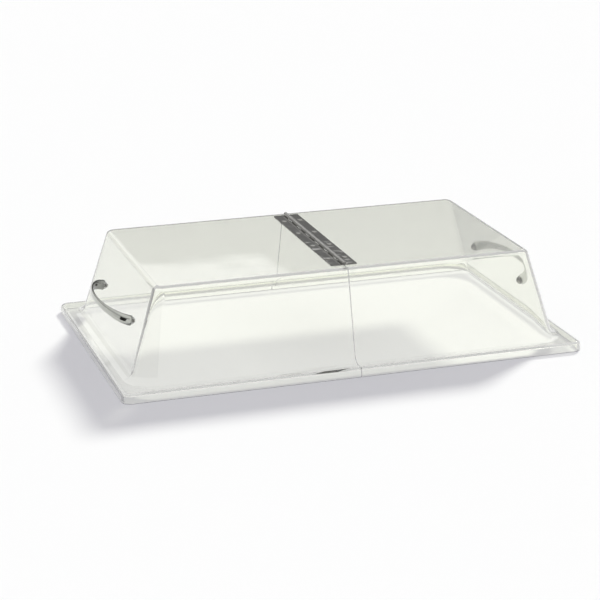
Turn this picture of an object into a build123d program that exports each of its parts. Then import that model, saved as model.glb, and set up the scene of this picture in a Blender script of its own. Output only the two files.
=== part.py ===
"""Clear two-leaf cover for a full-size food pan.

Two thermoformed half shells meet at a seam across the middle. A strip hinge with rolled knuckles is
riveted over the seam, and a bow handle is screwed to each end wall.

Millimetres. X runs along the cover, Y across it and Z up. The origin is under the middle of the cover,
on the plane of the lip's lower edge. The right half swings up about the hinge pin, which lies along Y.
"""
import os
from math import atan2, cos, sin, tan

from build123d import *

os.makedirs("parts", exist_ok=True)

# Cover: outside sizes of the two halves together
COVER_LENGTH = 530.0
COVER_DEPTH = 325.0
COVER_HEIGHT = 110.0
WALL = 3.0
LIP_HEIGHT = 10.5
FLANGE_WIDTH = 18.5
END_INSET = 30.5
SIDE_INSET = 27.0

# Cover: bends, given on the side where the sheet bends tightest
LIP_CORNER_INNER_RADIUS = 7.0
LIP_EDGE_INNER_RADIUS = 1.0
FOOT_OUTER_RADIUS = 8.0
FOOT_CORNER_INNER_RADIUS = 27.0
TOP_CORNER_INNER_RADIUS = 7.0
TOP_EDGE_INNER_RADIUS = 5.0

# Seam between the halves
SEAM_GAP = 0.6
BARREL_RELIEF = 1.0

# Strip hinge
HINGE_SETBACK = 13.0
LEAF_WIDTH = 15.0
LEAF_THICKNESS = 1.0
LEAF_CORNER_RADIUS = 1.5
PIN_DIAMETER = 2.5
PIN_CLEARANCE = 0.05
PIN_END_CHAMFER = 0.3
KNUCKLE_COUNT = 13
KNUCKLE_GAP = 0.3
KNUCKLE_CURL = 292.0
NOTCH_CLEARANCE = 0.4

# Hinge rivets
RIVETS_PER_LEAF = 4
RIVET_EDGE = 5.5
RIVET_DIAMETER = 3.2
RIVET_HOLE_CLEARANCE = 0.1
RIVET_HEAD_DIAMETER = 6.4
RIVET_HEAD_HEIGHT = 1.0
RIVET_TAIL_DIAMETER = 5.2
RIVET_TAIL_HEIGHT = 1.6
RIVET_WASHER_DIAMETER = 8.0
RIVET_WASHER_THICKNESS = 0.8

# Bow handles
HANDLE_HEIGHT = 58.8
HANDLE_SPAN = 131.0
HANDLE_REACH = 26.5
HANDLE_FOOT_LENGTH = 10.0
HANDLE_FOOT_WIDTH = 11.5
HANDLE_WAIST_WIDTH = 6.0
HANDLE_WAIST_THICKNESS = 2.6
HANDLE_EDGE_RADIUS = 1.1

# Handle screws
SCREW_DIAMETER = 4.0
SCREW_GRIP = 5.0
SCREW_THREAD_CLEARANCE = 0.05
SCREW_TIP_CLEARANCE = 0.8
SCREW_HOLE_CLEARANCE = 0.25
SCREW_HEAD_DIAMETER = 8.0
SCREW_HEAD_HEIGHT = 3.1
SCREW_HEAD_RIM = 1.1
SCREW_WASHER_DIAMETER = 9.0
SCREW_WASHER_THICKNESS = 0.8

# Sizes that follow from those above
FOOT_LENGTH = COVER_LENGTH - 2 * FLANGE_WIDTH
FOOT_DEPTH = COVER_DEPTH - 2 * FLANGE_WIDTH
TOP_LENGTH = FOOT_LENGTH - 2 * END_INSET
TOP_DEPTH = FOOT_DEPTH - 2 * SIDE_INSET
WALL_RISE = COVER_HEIGHT - LIP_HEIGHT
END_DRAFT = atan2(END_INSET, WALL_RISE)
SIDE_DRAFT = atan2(SIDE_INSET, WALL_RISE)

HINGE_LENGTH = TOP_DEPTH - 2 * HINGE_SETBACK
PIN_RADIUS = PIN_DIAMETER / 2
BORE_RADIUS = PIN_RADIUS + PIN_CLEARANCE
KNUCKLE_RADIUS = BORE_RADIUS + LEAF_THICKNESS
KNUCKLE_PITCH = HINGE_LENGTH / KNUCKLE_COUNT
NOTCH_EDGE = KNUCKLE_RADIUS + NOTCH_CLEARANCE
HINGE_AXIS_Z = COVER_HEIGHT + KNUCKLE_RADIUS
LEAF_TOP_Z = COVER_HEIGHT + LEAF_THICKNESS
RIVET_X = LEAF_WIDTH - RIVET_EDGE
RIVET_PITCH = HINGE_LENGTH / RIVETS_PER_LEAF
RIVET_HOLE_RADIUS = RIVET_DIAMETER / 2 + RIVET_HOLE_CLEARANCE
RIVET_SEAT_Z = COVER_HEIGHT - WALL - RIVET_WASHER_THICKNESS

HANDLE_SEAT_X = FOOT_LENGTH / 2 - (HANDLE_HEIGHT - LIP_HEIGHT) * tan(END_DRAFT)
HANDLE_OUTER_HALF = (HANDLE_SPAN + HANDLE_FOOT_LENGTH) / 2
HANDLE_INNER_HALF = (HANDLE_SPAN - HANDLE_FOOT_LENGTH) / 2
HANDLE_INNER_REACH = HANDLE_REACH - HANDLE_WAIST_THICKNESS
SCREW_HOLE_RADIUS = SCREW_DIAMETER / 2 + SCREW_HOLE_CLEARANCE
TAPPED_HOLE_RADIUS = SCREW_DIAMETER / 2 + SCREW_THREAD_CLEARANCE
SCREW_SPOTS = [(-HANDLE_SPAN / 2, 0), (HANDLE_SPAN / 2, 0)]

LEFT = -1
RIGHT = 1


def cover_body(inset):
    """The whole cover as a solid block, with every face drawn in by inset.

    The bends that are tightest on the sheet's inner side grow by the distance from that side.
    """
    flange_z = LIP_HEIGHT - inset
    end_shrink = inset * (1 / cos(END_DRAFT) - tan(END_DRAFT))
    side_shrink = inset * (1 / cos(SIDE_DRAFT) - tan(SIDE_DRAFT))
    from_inside = WALL - inset
    with BuildPart() as body:
        with BuildSketch():
            RectangleRounded(
                COVER_LENGTH - 2 * inset, COVER_DEPTH - 2 * inset, LIP_CORNER_INNER_RADIUS + from_inside
            )
        extrude(amount=flange_z)
        with BuildSketch(Plane.XY.offset(flange_z)):
            RectangleRounded(
                FOOT_LENGTH - 2 * end_shrink,
                FOOT_DEPTH - 2 * side_shrink,
                FOOT_CORNER_INNER_RADIUS + from_inside,
            )
        with BuildSketch(Plane.XY.offset(COVER_HEIGHT - inset)):
            RectangleRounded(
                TOP_LENGTH - 2 * end_shrink,
                TOP_DEPTH - 2 * side_shrink,
                TOP_CORNER_INNER_RADIUS + from_inside,
            )
        loft()
        top = body.faces().sort_by(Axis.Z)[-1]
        fillet(top.edges(), radius=TOP_EDGE_INNER_RADIUS + from_inside)
        flange = body.faces().filter_by(Plane.XY).group_by(Axis.Z)[1][0]
        fillet(flange.inner_wires()[0].edges(), radius=FOOT_OUTER_RADIUS + inset)
        flange = body.faces().filter_by(Plane.XY).group_by(Axis.Z)[1][0]
        fillet(flange.outer_wire().edges(), radius=LIP_EDGE_INNER_RADIUS + from_inside)
    return body.part


def end_wall_seat(side):
    """The plane on an end wall's outer face at the handle: x along the handle, y up the wall, z outward."""
    return Plane(
        origin=(side * HANDLE_SEAT_X, 0, HANDLE_HEIGHT),
        x_dir=(0, side, 0),
        z_dir=(side * cos(END_DRAFT), 0, sin(END_DRAFT)),
    )


def rivet_spots(side):
    """The rivet centres of one hinge leaf, in plan."""
    middle = (RIVETS_PER_LEAF - 1) / 2
    return [(side * RIVET_X, (index - middle) * RIVET_PITCH) for index in range(RIVETS_PER_LEAF)]


def hollow_cover():
    """The cover before it is parted: one wall thick, with a groove under the hinge barrel."""
    outside = cover_body(0)
    inside = cover_body(WALL)
    groove_half = SEAM_GAP / 2 + BARREL_RELIEF
    with BuildPart() as cover:
        add(outside)
        add(inside, mode=Mode.SUBTRACT)
        with BuildSketch(Plane.XZ):
            with BuildLine():
                Polyline(
                    (-groove_half, COVER_HEIGHT),
                    (0, COVER_HEIGHT - groove_half),
                    (groove_half, COVER_HEIGHT),
                    close=True,
                )
            make_face()
        extrude(amount=HINGE_LENGTH / 2 + BARREL_RELIEF, both=True, mode=Mode.SUBTRACT)
    return cover.part


def half_shell(cover, side):
    """One half of the cover, with its holes for the hinge rivets and the handle screws."""
    with BuildPart() as shell:
        add(cover)
        split(bisect_by=Plane.YZ.offset(side * SEAM_GAP / 2), keep=Keep.TOP if side == RIGHT else Keep.BOTTOM)
        with BuildSketch(Plane.XY.offset(COVER_HEIGHT)):
            with Locations(*rivet_spots(side)):
                Circle(RIVET_HOLE_RADIUS)
        extrude(amount=-2 * WALL, mode=Mode.SUBTRACT)
        with BuildSketch(end_wall_seat(side)):
            with Locations(*SCREW_SPOTS):
                Circle(SCREW_HOLE_RADIUS)
        extrude(amount=-2 * WALL, mode=Mode.SUBTRACT)
    return shell.part


def hinge_leaf(side, first_knuckle):
    """One hinge leaf: a flat plate with every second knuckle rolled up from its edge."""
    with BuildPart() as leaf:
        with BuildSketch(Plane.XY.offset(COVER_HEIGHT)) as plate:
            with Locations((side * (NOTCH_EDGE + LEAF_WIDTH) / 2, 0)):
                Rectangle(LEAF_WIDTH - NOTCH_EDGE, HINGE_LENGTH)
            outer_corners = plate.vertices().group_by(Axis.X)[-1 if side == RIGHT else 0]
            fillet(outer_corners, radius=LEAF_CORNER_RADIUS)
            with Locations(*rivet_spots(side)):
                Circle(RIVET_HOLE_RADIUS, mode=Mode.SUBTRACT)
        extrude(amount=LEAF_THICKNESS)
        for index in range(first_knuckle, KNUCKLE_COUNT, 2):
            middle_y = (index + 0.5) * KNUCKLE_PITCH - HINGE_LENGTH / 2
            with BuildSketch(Plane((0, middle_y, COVER_HEIGHT), x_dir=(1, 0, 0), z_dir=(0, -1, 0))):
                with BuildLine():
                    outer_curl = CenterArc((0, KNUCKLE_RADIUS), KNUCKLE_RADIUS, -90, -side * KNUCKLE_CURL)
                    inner_curl = CenterArc((0, KNUCKLE_RADIUS), BORE_RADIUS, -90, -side * KNUCKLE_CURL)
                    Line(outer_curl @ 1, inner_curl @ 1)
                    Polyline(
                        outer_curl @ 0,
                        (side * NOTCH_EDGE, 0),
                        (side * NOTCH_EDGE, LEAF_THICKNESS),
                        inner_curl @ 0,
                    )
                make_face()
            extrude(amount=(KNUCKLE_PITCH - KNUCKLE_GAP) / 2, both=True)
    return leaf.part


def hinge_rivets(side):
    """The rivets of one leaf: domed head on the leaf, shank through the shell, tail formed on the washer."""
    shank_radius = RIVET_DIAMETER / 2
    head_crown = (0, LEAF_TOP_Z + RIVET_HEAD_HEIGHT)
    head_rim = (RIVET_HEAD_DIAMETER / 2, LEAF_TOP_Z)
    tail_crown = (0, RIVET_SEAT_Z - RIVET_TAIL_HEIGHT)
    tail_rim = (RIVET_TAIL_DIAMETER / 2, RIVET_SEAT_Z)
    with BuildPart() as rivets:
        for spot_x, spot_y in rivet_spots(side):
            with BuildSketch(Plane((spot_x, spot_y, 0), x_dir=(1, 0, 0), z_dir=(0, -1, 0))):
                with BuildLine():
                    TangentArc(head_crown, head_rim, tangent=(1, 0))
                    TangentArc(tail_crown, tail_rim, tangent=(1, 0))
                    Polyline(head_rim, (shank_radius, LEAF_TOP_Z), (shank_radius, RIVET_SEAT_Z), tail_rim)
                    Line(tail_crown, head_crown)
                make_face()
            revolve(axis=Axis((spot_x, spot_y, 0), (0, 0, 1)))
    return rivets.part


def rivet_washers(side):
    """The washers that spread the rivet tails' load on the inside of one half."""
    with BuildPart() as washers:
        with BuildSketch(Plane.XY.offset(RIVET_SEAT_Z)):
            with Locations(*rivet_spots(side)):
                Circle(RIVET_WASHER_DIAMETER / 2)
                Circle(RIVET_HOLE_RADIUS, mode=Mode.SUBTRACT)
        extrude(amount=RIVET_WASHER_THICKNESS)
    return washers.part


def bow_handle(side):
    """One cast bow handle: an arch, waisted in the middle, with a tapped hole in each foot."""
    seat = end_wall_seat(side)
    with BuildPart() as handle:
        with BuildSketch(Plane(seat.origin, x_dir=seat.x_dir, z_dir=-seat.y_dir).offset(-HANDLE_FOOT_WIDTH)):
            with BuildLine():
                crown = EllipticalCenterArc((0, 0), HANDLE_OUTER_HALF, HANDLE_REACH, arc_size=180)
                soffit = EllipticalCenterArc((0, 0), HANDLE_INNER_HALF, HANDLE_INNER_REACH, arc_size=180)
                Line(crown @ 0, soffit @ 0)
                Line(crown @ 1, soffit @ 1)
            make_face()
        extrude(amount=2 * HANDLE_FOOT_WIDTH)
        with BuildSketch(seat):
            with BuildLine():
                upper = ThreePointArc(
                    (-HANDLE_OUTER_HALF, HANDLE_FOOT_WIDTH / 2),
                    (0, HANDLE_WAIST_WIDTH / 2),
                    (HANDLE_OUTER_HALF, HANDLE_FOOT_WIDTH / 2),
                )
                lower = mirror(upper, about=Plane.XZ)
                Line(upper @ 0, lower @ 0)
                Line(upper @ 1, lower @ 1)
            make_face()
        extrude(amount=2 * HANDLE_REACH, mode=Mode.INTERSECT)
        long_edges = handle.edges().sort_by(SortBy.LENGTH)[-4:]
        fillet(long_edges, radius=HANDLE_EDGE_RADIUS)
        with BuildSketch(seat):
            with Locations(*SCREW_SPOTS):
                Circle(TAPPED_HOLE_RADIUS)
        extrude(amount=SCREW_GRIP + SCREW_TIP_CLEARANCE, mode=Mode.SUBTRACT)
    return handle.part


def handle_screws(side):
    """The pan-head screws of one handle, driven from inside the cover into the handle's feet."""
    seat = end_wall_seat(side)
    head_radius = SCREW_HEAD_DIAMETER / 2
    shank_radius = SCREW_DIAMETER / 2
    head_seat = -WALL - SCREW_WASHER_THICKNESS
    head_crown = (0, head_seat - SCREW_HEAD_HEIGHT)
    head_rim = (head_radius, head_seat - SCREW_HEAD_RIM)
    with BuildPart() as screws:
        for spot in SCREW_SPOTS:
            spot_origin = seat.from_local_coords(spot)
            with BuildSketch(Plane(spot_origin, x_dir=seat.x_dir, z_dir=-seat.y_dir)):
                with BuildLine():
                    TangentArc(head_crown, head_rim, tangent=(1, 0))
                    Polyline(
                        head_rim,
                        (head_radius, head_seat),
                        (shank_radius, head_seat),
                        (shank_radius, SCREW_GRIP),
                        (0, SCREW_GRIP),
                        head_crown,
                    )
                make_face()
            revolve(axis=Axis(spot_origin, seat.z_dir))
    return screws.part


def handle_washers(side):
    """The washers under the handle screws' heads."""
    with BuildPart() as washers:
        with BuildSketch(end_wall_seat(side).offset(-WALL)):
            with Locations(*SCREW_SPOTS):
                Circle(SCREW_WASHER_DIAMETER / 2)
                Circle(SCREW_HOLE_RADIUS, mode=Mode.SUBTRACT)
        extrude(amount=-SCREW_WASHER_THICKNESS)
    return washers.part


def hinge_pin():
    """The pin that both leaves' knuckles turn on."""
    with BuildPart() as pin:
        with BuildSketch(Plane((0, HINGE_LENGTH / 2, HINGE_AXIS_Z), x_dir=(1, 0, 0), z_dir=(0, -1, 0))):
            Circle(PIN_RADIUS)
        extrude(amount=HINGE_LENGTH)
        chamfer(pin.edges().filter_by(GeomType.CIRCLE), length=PIN_END_CHAMFER)
    return pin.part


def write_piece(piece, label):
    """Names a finished piece and writes it to its own file."""
    piece.label = label
    export_step(piece, f"parts/{label}.step")


whole_cover = hollow_cover()
for hand, side, first_knuckle in (("left", LEFT, 0), ("right", RIGHT, 1)):
    write_piece(half_shell(whole_cover, side), f"{hand}_shell")
    write_piece(hinge_leaf(side, first_knuckle), f"{hand}_hinge_leaf")
    write_piece(hinge_rivets(side), f"{hand}_hinge_rivets")
    write_piece(rivet_washers(side), f"{hand}_rivet_washers")
    write_piece(bow_handle(side), f"{hand}_handle")
    write_piece(handle_screws(side), f"{hand}_handle_screws")
    write_piece(handle_washers(side), f"{hand}_handle_washers")
write_piece(hinge_pin(), "hinge_pin")
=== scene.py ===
# %% [markdown]
# # A hinged clear cover for a full-size food pan
# The object is a buffet cover. Two half shells are formed from clear plastic sheet, a riveted strip hinge
# joins them over the seam, and a bow handle is screwed to each end wall. The CAD part comes in as a fixed
# frame, which gives the places, the sizes and the bodies that move. This script gives every piece its
# surface. Lengths are in metres, with +X along the cover, +Y to the back and +Z up.

# %% Load the frame
from math import atan2, cos, pi, radians, sin, tan

import bmesh
import bpy
import numpy as np
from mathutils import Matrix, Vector


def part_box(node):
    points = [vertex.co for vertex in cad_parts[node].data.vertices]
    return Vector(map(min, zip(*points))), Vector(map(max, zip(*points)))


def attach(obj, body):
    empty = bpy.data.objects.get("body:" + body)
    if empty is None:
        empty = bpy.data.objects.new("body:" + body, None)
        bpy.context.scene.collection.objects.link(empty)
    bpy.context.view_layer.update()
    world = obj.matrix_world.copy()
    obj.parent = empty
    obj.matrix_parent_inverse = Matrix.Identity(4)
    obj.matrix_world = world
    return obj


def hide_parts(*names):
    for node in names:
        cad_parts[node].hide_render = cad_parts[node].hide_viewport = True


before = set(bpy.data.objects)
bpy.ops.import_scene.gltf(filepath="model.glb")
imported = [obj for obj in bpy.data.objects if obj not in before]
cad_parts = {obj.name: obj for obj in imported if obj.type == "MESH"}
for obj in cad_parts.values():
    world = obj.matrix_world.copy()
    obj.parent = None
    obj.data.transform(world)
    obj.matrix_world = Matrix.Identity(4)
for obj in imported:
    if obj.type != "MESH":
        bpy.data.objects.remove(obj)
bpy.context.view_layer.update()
scene = bpy.context.scene
scene.view_settings.view_transform = "Standard"

# %% [markdown]
# ## Sizes
# The overall sizes are read from the frame's boxes, so the pieces made here follow the CAD part. What a
# box can't tell, such as the sheet's thickness and its bends, is written once as a named value.

# %% Sizes of the cover
MM = 0.001
LEFT, RIGHT = -1, 1
HANDS = {"left": LEFT, "right": RIGHT}

shell_low, shell_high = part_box("right_shell")
HALF_LENGTH = shell_high.x
HALF_DEPTH = shell_high.y
HEIGHT = shell_high.z
SEAM_EDGE = shell_low.x

WALL = 3 * MM
LIP_HEIGHT = 10.5 * MM
FLANGE_WIDTH = 18.5 * MM
END_INSET = 30.5 * MM
SIDE_INSET = 27 * MM
WALL_RISE = HEIGHT - LIP_HEIGHT
END_DRAFT = atan2(END_INSET, WALL_RISE)
SIDE_DRAFT = atan2(SIDE_INSET, WALL_RISE)
print("half length", round(HALF_LENGTH, 4), "half depth", round(HALF_DEPTH, 4), "height", round(HEIGHT, 4))

# %% [markdown]
# ## Small tools
# One function adds a node to a shader tree or a geometry tree, sets its properties and feeds its inputs.
# Colours are written as the sRGB hex codes that a colour picker shows, and turned to linear light in one
# place, because shaders work in linear light.


# %% Nodes and colours
def add(tree, kind, settings=None, inputs=None):
    """Adds a node. An input is given by name or number, as a value or as the socket that feeds it."""
    node = tree.nodes.new(kind)
    for name, value in (settings or {}).items():
        setattr(node, name, value)
    for name, value in (inputs or {}).items():
        if isinstance(value, bpy.types.NodeSocket):
            tree.links.new(value, node.inputs[name])
        else:
            node.inputs[name].default_value = value
    return node


def linear(hex_code):
    """An sRGB hex colour as linear RGBA."""
    shares = [int(hex_code[start:start + 2], 16) / 255 for start in (1, 3, 5)]
    return [c / 12.92 if c <= 0.04045 else ((c + 0.055) / 1.055) ** 2.4 for c in shares] + [1]


def start_material(name):
    """A new material with an empty node tree and its output."""
    material = bpy.data.materials.new(name)
    material.use_nodes = True
    tree = material.node_tree
    tree.nodes.clear()
    return material, tree, add(tree, "ShaderNodeOutputMaterial").inputs["Surface"]


print("the grey #808080 is", round(linear("#808080")[0], 3), "in linear light")

# %% [markdown]
# ## Clear polycarbonate
# The shells are pressed from extruded polycarbonate sheet: clear, glossy, a little yellow-green where one
# looks through a lot of it. Forming leaves faint long waves in the sheet, and wiping leaves fine scuffs,
# so reflections wobble slightly and blur in places. A refracting shader gives this, with a bump for the
# waves and a roughness that changes with the scuffs. Flats then nearly vanish, and bends and edges show.

# %% Surface of the sheet
WAVE_LENGTH, WAVE_HEIGHT = 85 * MM, 0.9 * MM
SCUFF_SIZE = (40 * MM, 5 * MM, 9 * MM)
POLISHED, SCUFFED = 0.012, 0.06
SHEET_IOR = 1.585


def sheet_surface(tree, place):
    """What the eye gets of the sheet: bent and mirrored light, with slow waves and fine scuffs."""
    waves = add(tree, "ShaderNodeTexNoise", None, {"Vector": place, "Scale": 1 / WAVE_LENGTH, "Detail": 1.0})
    swell = {"Height": waves.outputs["Fac"], "Strength": 0.3, "Distance": WAVE_HEIGHT}
    bump = add(tree, "ShaderNodeBump", None, swell)
    strokes = {"Vector": place, "Scale": [1 / size for size in SCUFF_SIZE]}
    wiped = add(tree, "ShaderNodeMapping", None, strokes)
    scuffs = add(tree, "ShaderNodeTexNoise", None, {"Vector": wiped.outputs[0], "Scale": 1.0, "Detail": 4.0})
    spread = {"From Min": 0.45, "From Max": 0.8, "To Min": POLISHED, "To Max": SCUFFED}
    haze = add(tree, "ShaderNodeMapRange", None, {"Value": scuffs.outputs["Fac"], **spread})
    return add(
        tree,
        "ShaderNodeBsdfPrincipled",
        None,
        {
            "Base Color": linear("#FEFFF9"),
            "Roughness": haze.outputs[0],
            "IOR": SHEET_IOR,
            "Transmission Weight": 1.0,
            "Normal": bump.outputs[0],
        },
    )


# %% [markdown]
# ## Light that passes the sheet
# To trace lamps through bent plastic takes very many samples, so lamp light goes straight through here.
# Where it meets the sheet squarely, nearly all of it passes, a little yellower. Where it meets the sheet at
# a slant, as on steep walls and bends, real sheet sends it aside, so it is held back, and the floor gets its
# soft shadow. The cut faces at the seam let it pass, because the photograph has no line of shadow there. A
# ray that was mirrored inside the sheet is let out at the next face. It loses less near the white floor,
# which lights real plastic from below.

# %% Light that passes the sheet
SLANT_FROM, SLANT_TO = 0.32, 0.57
SEAM_FACES = 1 * MM
LOW_DOWN, HIGH_UP = 10 * MM, 100 * MM
# What follows are shares of light, in linear red, green and blue or for all three.
SQUARE_ON, SLANTED = (0.997, 0.999, 0.972, 1), (0.05, 0.05, 0.05, 1)
FIRST_WAY_OUT_LOW, FIRST_WAY_OUT_HIGH = 0.66, 0.55
LATER_WAYS_OUT = (0.97, 0.97, 0.97, 1)


def lamp_light(tree, axes):
    """Lets lamp light straight through, apart from what meets the sheet at a slant."""
    slant = add(tree, "ShaderNodeLayerWeight", None, {"Blend": 0.5})
    slanting = {"Value": slant.outputs["Facing"], "From Min": SLANT_FROM, "From Max": SLANT_TO}
    glance = add(tree, "ShaderNodeMapRange", {"interpolation_type": "SMOOTHSTEP"}, slanting)
    aside = add(tree, "ShaderNodeMath", {"operation": "ABSOLUTE"}, {0: axes["X"]})
    off_seam = add(
        tree, "ShaderNodeMath", {"operation": "GREATER_THAN"}, {0: aside.outputs[0], 1: SEAM_FACES}
    )
    held = add(
        tree, "ShaderNodeMath", {"operation": "MULTIPLY"}, {0: glance.outputs[0], 1: off_seam.outputs[0]}
    )
    shares = {"Factor": held.outputs[0], "A": SQUARE_ON, "B": SLANTED}
    passed = add(tree, "ShaderNodeMix", {"data_type": "RGBA"}, shares)
    return add(tree, "ShaderNodeBsdfTransparent", None, {"Color": passed.outputs["Result"]})


def trapped_light(tree, axes, path):
    """Lets out a ray that was mirrored inside the sheet, with a loss on its first way out."""
    heights = {"Value": axes["Z"], "From Min": LOW_DOWN, "From Max": HIGH_UP}
    losses = {"To Min": FIRST_WAY_OUT_LOW, "To Max": FIRST_WAY_OUT_HIGH}
    first = add(tree, "ShaderNodeMapRange", None, {**heights, **losses})
    shares = {"Factor": path["Transparent Depth"], "A": first.outputs[0], "B": LATER_WAYS_OUT}
    way_out = add(tree, "ShaderNodeMix", {"data_type": "RGBA"}, shares)
    return add(tree, "ShaderNodeBsdfTransparent", None, {"Color": way_out.outputs["Result"]})


# %% Clear polycarbonate
def clear_polycarbonate():
    """Formed sheet, with a way of its own for each kind of light."""
    material, tree, surface = start_material("clear_polycarbonate")
    place = add(tree, "ShaderNodeTexCoord").outputs["Object"]
    axes = add(tree, "ShaderNodeSeparateXYZ", None, {0: place}).outputs
    path = add(tree, "ShaderNodeLightPath").outputs
    sheet = sheet_surface(tree, place)
    ways = {
        "Is Reflection Ray": trapped_light(tree, axes, path),
        "Is Shadow Ray": lamp_light(tree, axes),
        "Is Diffuse Ray": add(tree, "ShaderNodeBsdfTransparent"),
    }
    for ray, way in ways.items():
        choice = {0: path[ray], 1: sheet.outputs[0], 2: way.outputs[0]}
        sheet = add(tree, "ShaderNodeMixShader", None, choice)
    tree.links.new(sheet.outputs[0], surface)
    return material


POLYCARBONATE = clear_polycarbonate()
print("made", POLYCARBONATE.name, "with", len(POLYCARBONATE.node_tree.nodes), "nodes")

# %% [markdown]
# ## Metals
# The strip hinge is rolled stainless steel, brushed along its length and not quite flat, so it mirrors the
# room in soft uneven patches. Rivets, screws and the pin are stainless too, tumbled smooth, with small round
# highlights. The handles are cast and chrome plated, so they show long bands of light and dark. A metal
# takes its colour from what it mirrors, and its base colour, a warm grey here, only sets how much of that
# comes back. Noise that is stretched along the grain serves all three, so one function makes them.

# %% Metals
MOTTLE_SIZE = 18 * MM
DULLEST = 0.8


def metal(name, hex_code, roughness, streak, grain, grain_depth, sway):
    """A metal whose grain has its own size along X, Y and Z.

    streak is how much the roughness changes from place to place, grain the size of the grain along each
    axis, grain_depth how high it stands, and sway how far the surface strays from flat in a mottle.
    """
    material, tree, surface = start_material(name)
    place = add(tree, "ShaderNodeTexCoord").outputs["Object"]
    stretched = add(tree, "ShaderNodeMapping", None, {"Vector": place, "Scale": [1 / size for size in grain]})
    fine = {"Vector": stretched.outputs[0], "Scale": 1.0, "Detail": 3.0}
    lines = add(tree, "ShaderNodeTexNoise", None, fine)
    grooves = {"Height": lines.outputs["Fac"], "Strength": 0.5, "Distance": grain_depth}
    bump = add(tree, "ShaderNodeBump", None, grooves)
    spread = {"From Min": 0.3, "From Max": 0.7, "To Min": roughness - streak, "To Max": roughness + streak}
    polish = add(tree, "ShaderNodeMapRange", None, {"Value": lines.outputs["Fac"], **spread})
    mottle = add(tree, "ShaderNodeTexNoise", None, {"Vector": place, "Scale": 1 / MOTTLE_SIZE, "Detail": 1.0})
    swell = {"Height": mottle.outputs["Fac"], "Strength": 1.0, "Distance": sway, "Normal": bump.outputs[0]}
    uneven = add(tree, "ShaderNodeBump", None, swell)
    dull = [DULLEST * c for c in linear(hex_code)[:3]] + [1]
    tones = {"Factor": mottle.outputs["Fac"], "A": dull, "B": linear(hex_code)}
    tone = add(tree, "ShaderNodeMix", {"data_type": "RGBA"}, tones)
    shader = add(
        tree,
        "ShaderNodeBsdfPrincipled",
        None,
        {
            "Base Color": tone.outputs["Result"],
            "Metallic": 1.0,
            "Roughness": polish.outputs[0],
            "Normal": uneven.outputs[0],
        },
    )
    tree.links.new(shader.outputs[0], surface)
    return material


# Real brushing is finer than 0.35 mm. It is drawn this coarse so that it shows close up.
BRUSHED_ALONG_Y = (0.35 * MM, 30 * MM, 0.35 * MM)
HINGE_STEEL = metal(
    "brushed_stainless_steel",
    "#A5A4A0",
    roughness=0.07,
    streak=0.05,
    grain=BRUSHED_ALONG_Y,
    grain_depth=0.002 * MM,
    sway=0.5 * MM,
)
FASTENER_STEEL = metal(
    "tumbled_stainless_steel",
    "#A3A29E",
    roughness=0.10,
    streak=0.06,
    grain=[1.5 * MM] * 3,
    grain_depth=0.004 * MM,
    sway=0.05 * MM,
)
CHROME = metal(
    "chrome_plated_casting",
    "#C1C3BC",
    roughness=0.06,
    streak=0.02,
    grain=[7 * MM] * 3,
    grain_depth=0.03 * MM,
    sway=0.10 * MM,
)
print("made", HINGE_STEEL.name, FASTENER_STEEL.name, CHROME.name)

# %% [markdown]
# ## The formed sheet
# Each half shell is one sheet: a lip turned down, a flange, sloping walls and a flat top. Every level of it
# is a rounded rectangle, so a skin is a stack of rings, and each bend is an arc of rings. A box with
# bevels couldn't give the walls their two slopes and the corners their three radii. The rings of the outer
# and inner skin are joined at the lip's edge and at the seam, which makes one closed wall. The bend at the
# foot is a little softer than in the CAD solids and the one on top a little tighter, as in the photograph.

# %% Rings of one skin
# Corners are measured on the inside, and each bend on the side where it is tighter.
LIP_CORNER, FOOT_CORNER, TOP_CORNER = 7 * MM, 27 * MM, 7 * MM
LIP_BEND, FOOT_BEND, TOP_BEND = 1 * MM, 12 * MM, 3.5 * MM
CORNER_STEPS, BEND_STEPS = 24, 16


def half_ring():
    """The points of a ring round one half: corner angle, corner's side, and whether it is at the seam."""
    near = np.linspace(-pi / 2, 0, CORNER_STEPS + 1)
    angle = np.concatenate([near[:1], near, -near[::-1], -near[:1]])
    corner_side = np.repeat([-1, 1], CORNER_STEPS + 2)
    on_seam = np.zeros(len(angle), bool)
    on_seam[[0, -1]] = True
    return angle, corner_side, on_seam


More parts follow.
